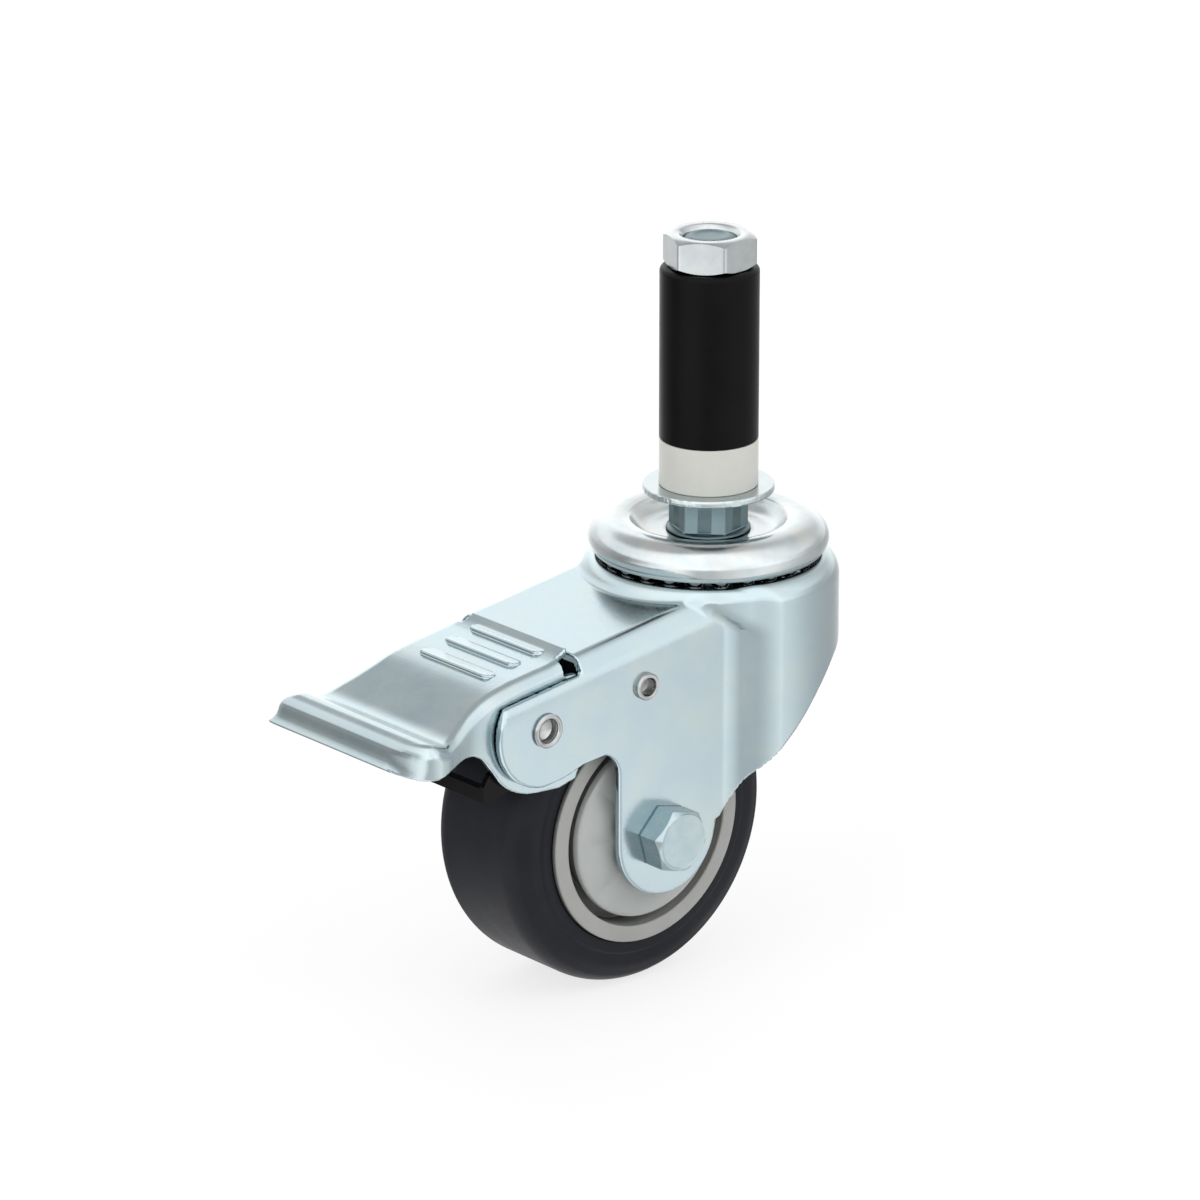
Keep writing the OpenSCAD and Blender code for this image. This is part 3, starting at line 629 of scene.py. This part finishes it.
def on_near_leg(points):
    return along_y(points + np.array((0, 0, LEG_OUT)))


turned("forged_bolt", bolt_section, "zinc_bolt", "fork", ["axle_bolt"], on_near_leg, around=240,
       across=BOLT_AF, phase=16)


def axle_nut_section(r):
    edge = (r - 8.7) * 0.577
    return [(6.1, 0), (r - 0.3, 0), (r, 0.3), (r, 10 - edge), (8.7, 10), (6.9, 10), (6.1, 9.3)]


turned("nut_on_axle", axle_nut_section, "zinc_bolt", "fork", ["axle_nut"],
       lambda points: along_y(points + np.array((0, 0, LEG_OUT + 2)), near=False), around=240,
       across=BOLT_AF, phase=50)


# Thread guards: dished, moulded in nine petals that meet in creases
GUARD_FLATS = 9


def creased(points):
    r = np.hypot(points[:, 0], points[:, 1])
    a = np.arctan2(points[:, 1], points[:, 0]) * GUARD_FLATS / (2 * math.pi)
    off = np.abs(a - np.round(a)) * 2
    dished = (r > 13) & (r < 27) & (points[:, 2] > RIM_HALF - 1.2)
    lift = np.where(dished, np.sin((r - 13) / 14 * math.pi) * 0.9 * (0.3 - off ** 2), 0)
    return points + np.stack([0 * r, 0 * r, lift], 1)


guard_face = RIM_HALF + 3.2
guard_section = (
    [(7.6, guard_face), (9.0, guard_face), (12.8, guard_face - 0.4)]
    + [(r, guard_face - 0.4 - (r - 12.8) * 0.150) for r in np.arange(14, 26.5, 1.5)]
    + [(26.9, guard_face - 2.6), (27.5, guard_face - 3.0), (27.7, guard_face - 3.6),
       (27.7, guard_face - 5), (26.8, guard_face - 5), (25.8, guard_face - 4.3),
       (13, guard_face - 1.9), (11.2, guard_face - 1.9), (10.4, 17.7), (7.6, 17.7)])
for word, near in (("near", True), ("far", False)):
    turned("guard_" + word, guard_section[::-1], "guard_grey", "fork", ["thread_guard_" + word],
           lambda points, near=near: along_y(points, near), around=252, shape=creased)

# Wheel: the rim's ring, and the tyre with a shallow step on each side
RECESS, BEARING_R, BEAD = 17.7, 17.5, (37.97, 18.0)


def mirrored(half):
    """A section (radius, height, rounding) and its mirror image below, as one closed line."""
    return half + [(r, -h, f) for r, h, f in half[::-1]]


rim_half = [(BEAD[0], BEAD[1], 0), (RING_OUT, BEAD[1], 0), (RING_OUT, RIM_HALF, 0.6),
            (RING_IN, RIM_HALF, 0.6), (RING_IN, 12, 0.4), (25, 12, 0.4), (25, RECESS, 0.4),
            (BEARING_R, RECESS, 0)]
turned("rim_moulding", soften(mirrored(rim_half)), "rim_grey", "wheel", ["wheel_rim"], along_y,
       around=160)

tyre_half = ([(BEAD[0], BEAD[1], 0), (RING_OUT + 0.02, BEAD[1], 0), (RING_OUT + 0.02, 19.4, 0),
              (36.3, TYRE_HALF, 0.2), (39.4, TYRE_HALF, 0.5), (40.2, 19.45, 0.5)]
             + [(r, h, 0) for r, h in arc((TYRE_R - SHOULDER, 11.6), 7.95, 85, 60, 4)]
             + [(r, h, 0) for r, h in arc((TYRE_R - SHOULDER, 12), SHOULDER, 50, 0, 8)])
turned("tyre_moulding", soften(mirrored(tyre_half)), "tyre_charcoal", "wheel", ["tyre"], along_y,
       around=200)

# Tubular rivets with rolled rims: the one that the pedal turns on, and two stubs for the yoke
PIVOT_HEAD = [(4.34, LEG_OUT), (4.9, LEG_OUT), (5.2, LEG_OUT + 0.3), (5.25, LEG_OUT + 0.8),
              (4.9, LEG_OUT + 1.2), (4.4, LEG_OUT + 1.3), (3.9, LEG_OUT + 1.1),
              (3.6, LEG_OUT + 0.6), (3.5, LEG_OUT - 0.2), (3.3, LEG_OUT - 1.8),
              (2.4, LEG_OUT - 2.6), (0, LEG_OUT - 2.9)]
turned("pedal_rivet", PIVOT_HEAD[::-1] + [(r, -h) for r, h in PIVOT_HEAD], "rivet_nickel", "fork",
       ["pivot_tube"], lambda points: along_y(points, centre=PIVOT), around=72)
STUB = [(0, 20.7), (4, 20.7), (4, 21.5), (3.1, 21.5), (3.1, 23.5), (3.9, 23.5), (3.9, 26.5),
        (3.1, 26.5), (3.1, LEG_OUT), (3.9, LEG_OUT), (4.2, LEG_OUT + 0.5), (4.15, LEG_OUT + 1.2),
        (3.8, LEG_OUT + 1.6), (3.3, LEG_OUT + 1.65), (2.9, LEG_OUT + 1.4), (2.7, LEG_OUT + 0.8),
        (2.6, LEG_OUT - 0.6), (2.2, LEG_OUT - 1.6), (0, LEG_OUT - 1.9)]
stub, stub_faces = spun(STUB, 60)
stub_points = np.vstack([along_y(stub, near, HANG) for near in (True, False)])
pair_faces = stub_faces + [tuple(v + len(stub) for v in face) for face in stub_faces]
piece("yoke_rivet_pair", stub_points, pair_faces, None, "rivet_nickel", "fork", ["yoke_rivets"])

for node, width in (("brake_yoke", 0.45), ("brake_pad", 0.5), ("axle_washer", 0.25)):
    bevel = frame["nodes"][node].modifiers.new("worn edges", "BEVEL")
    bevel.width = width * MM
    bevel.segments = 3
    bevel.limit_method = "ANGLE"
    bevel.angle_limit = math.radians(40)


# Studio: pale floor, white surround, soft lamps

# What polished metal sees round the horizon, by compass angle in degrees with 0 toward -Y:
# the brightness of the low panels, of the panels above them, and the floor's own glow
PANELS = ((-180, 1.1, 1.5, 0.6), (-163, 0.8, 1.45, 0.4), (-145, 0.6, 1.35, 0.3),
          (-125, 0.42, 1.5, 0.1), (-108, 0.8, 1.7, 0.95), (-88, 1.6, 1.8, 1.45),
          (-66, 1.9, 1.9, 1.3), (-52, 1.95, 1.9, 0.55), (-32, 1.8, 1.6, 0.68), (-12, 1.5, 1.8, 0.95),
          (12, 1.9, 1.8, 1.2), (32, 1.65, 1.5, 0.95), (50, 1.15, 1.5, 0.66), (70, 0.72, 1.2, 0.45),
          (95, 0.78, 0.9, 0.36), (112, 1.3, 0.85, 0.5), (130, 1.65, 1.3, 1.1),
          (150, 1.7, 1.8, 1.2), (168, 1.3, 1.6, 1.0), (180, 1.1, 1.5, 0.6))
# The way to a grey panel that hangs over the back
OVERHEAD, OVERHEAD_TONE = (0.12, 0.45, 0.883), 0.68
# The white surround as matt surfaces see it, and the floor's glow under the castor and in the picture
SOFT_SKY, NEAR_GLOW, SEEN_GLOW = 0.68, 0.7, 0.76


def off_a_mirror(tree, seen):
    """One for rays that come off a mirror-like surface or through a clear one, otherwise nothing."""
    return add(tree, "Math", {0: seen.outputs["Is Glossy Ray"],
                              1: seen.outputs["Is Transmission Ray"]}, operation="MAXIMUM")


def panels_round(tree, x, y, row):
    """Brightness of one row of panels in the direction x, y. The ramp holds half of each value."""
    turned_y = add(tree, "Math", {0: y, 1: -1.0}, operation="MULTIPLY")
    compass = add(tree, "Math", {0: x, 1: turned_y.outputs[0]}, operation="ARCTAN2")
    share = add(tree, "MapRange", {"Value": compass.outputs[0], "From Min": -math.pi,
                                   "From Max": math.pi})
    ramp = add(tree, "ValToRGB", {"Fac": share.outputs[0]})
    marks = ramp.color_ramp.elements
    while len(marks) < len(PANELS):
        marks.new(0.5)
    for mark, panel in zip(marks, PANELS):
        mark.position = (panel[0] + 180) / 360
    for mark, panel in zip(marks, PANELS):
        mark.color = (panel[row] / 2, panel[row] / 2, panel[row] / 2, 1)
    return add(tree, "Math", {0: ramp.outputs["Color"], 1: 2.0}, operation="MULTIPLY").outputs[0]


world = bpy.data.worlds.new("studio")
bpy.context.scene.world = world
world.use_nodes = True
tree = world.node_tree
tree.nodes.clear()
seen = add(tree, "LightPath")
mirror = off_a_mirror(tree, seen)
toward = add(tree, "SeparateXYZ", {0: add(tree, "TexCoord").outputs["Generated"]})
raised_by = add(tree, "MapRange", {"Value": toward.outputs["Z"], "From Min": 0.18,
                                   "From Max": 0.34}, interpolation_type="SMOOTHSTEP")
facing = add(tree, "VectorMath", {0: add(tree, "TexCoord").outputs["Generated"], 1: OVERHEAD},
             operation="DOT_PRODUCT")
overhead = add(tree, "MapRange", {"Value": facing.outputs["Value"], "From Min": 0.83,
                                  "From Max": 0.94}, interpolation_type="SMOOTHSTEP")
low_row, high_row = (panels_round(tree, toward.outputs["X"], toward.outputs["Y"], row)
                     for row in (1, 2))
side_tone = add(tree, "Mix", {0: raised_by.outputs["Result"], 2: low_row, 3: high_row})
tone = add(tree, "Mix", {0: overhead.outputs["Result"], 2: side_tone.outputs[0],
                         3: OVERHEAD_TONE})
soft = add(tree, "Background", {"Color": (1, 1, 1, 1), "Strength": SOFT_SKY})
mirrored_sky = add(tree, "Background", {"Color": (1, 1, 1, 1), "Strength": tone.outputs[0]})
white = add(tree, "Background", {"Color": (1, 1, 1, 1), "Strength": 1.0})
mixed = add(tree, "MixShader", {0: mirror.outputs[0], 1: soft.outputs[0],
                                2: mirrored_sky.outputs[0]})
final = add(tree, "MixShader", {0: seen.outputs["Is Camera Ray"], 1: mixed.outputs[0],
                                2: white.outputs[0]})
add(tree, "OutputWorld", {"Surface": final.outputs[0]})

FLOOR_Z, FLOOR_HALF = -144.8, 6000
corners = [(-1, -1), (1, -1), (1, 1), (-1, 1)]
mesh = bpy.data.meshes.new("floor")
mesh.from_pydata([(x * FLOOR_HALF * MM, y * FLOOR_HALF * MM, FLOOR_Z * MM) for x, y in corners],
                 [], [(0, 1, 2, 3)])
floor = bpy.data.objects.new("floor", mesh)
bpy.context.scene.collection.objects.link(floor)
paper = bpy.data.materials.new("white_paper_floor")
paper.use_nodes = True
tree = paper.node_tree
tree.nodes.clear()
seen = add(tree, "LightPath")
mirror = off_a_mirror(tree, seen)
first = add(tree, "Math", {0: seen.outputs["Is Camera Ray"], 1: mirror.outputs[0]},
            operation="MAXIMUM")
spot = add(tree, "SeparateXYZ", {0: add(tree, "TexCoord").outputs["Object"]})
away = add(tree, "VectorMath", {0: add(tree, "TexCoord").outputs["Object"]}, operation="LENGTH")
far_off = add(tree, "MapRange", {"Value": away.outputs["Value"], "From Min": 0.08,
                                 "From Max": 0.2}, interpolation_type="SMOOTHSTEP")
tone = add(tree, "Mix", {0: far_off.outputs["Result"], 2: NEAR_GLOW,
                         3: panels_round(tree, spot.outputs["X"], spot.outputs["Y"], 3)})
glow = add(tree, "Mix", {0: seen.outputs["Is Camera Ray"], 2: tone.outputs[0],
                         3: SEEN_GLOW})
plain = add(tree, "BsdfDiffuse", {"Color": (0.7, 0.7, 0.7, 1)})
lit = add(tree, "BsdfDiffuse", {"Color": (0.3, 0.3, 0.3, 1)})
glowing = add(tree, "Emission", {"Color": (1, 1, 1, 1), "Strength": glow.outputs[0]})
shown = add(tree, "AddShader", {0: lit.outputs[0], 1: glowing.outputs[0]})
final = add(tree, "MixShader", {0: first.outputs[0], 1: plain.outputs[0], 2: shown.outputs[0]})
add(tree, "OutputMaterial", {"Surface": final.outputs[0]})
mesh.materials.append(paper)


def soft_box(name, azimuth, elevation, distance, wide, high, radiance):
    """A large lamp aimed at the castor. Azimuth 0 is toward -Y, as for the camera."""
    lamp = bpy.data.lights.new(name, "AREA")
    lamp.shape = "RECTANGLE"
    lamp.size, lamp.size_y = wide, high
    lamp.energy = radiance * math.pi * wide * high
    obj = bpy.data.objects.new(name, lamp)
    bpy.context.scene.collection.objects.link(obj)
    a, e = math.radians(azimuth), math.radians(elevation)
    away = Vector((math.sin(a) * math.cos(e), -math.cos(a) * math.cos(e), math.sin(e)))
    obj.location = Vector((-0.05, 0, -0.05)) + away * distance
    obj.rotation_mode = "QUATERNION"
    obj.rotation_quaternion = away.to_track_quat("Z", "Y")
    obj.visible_glossy = False


soft_box("box_behind", 140, 30, 1.8, 1.8, 1.0, 1.0)
soft_box("box_front_left", -75, 42, 1.6, 0.9, 0.9, 1.4)
soft_box("box_front_right", 20, 38, 1.7, 0.8, 0.9, 1.4)
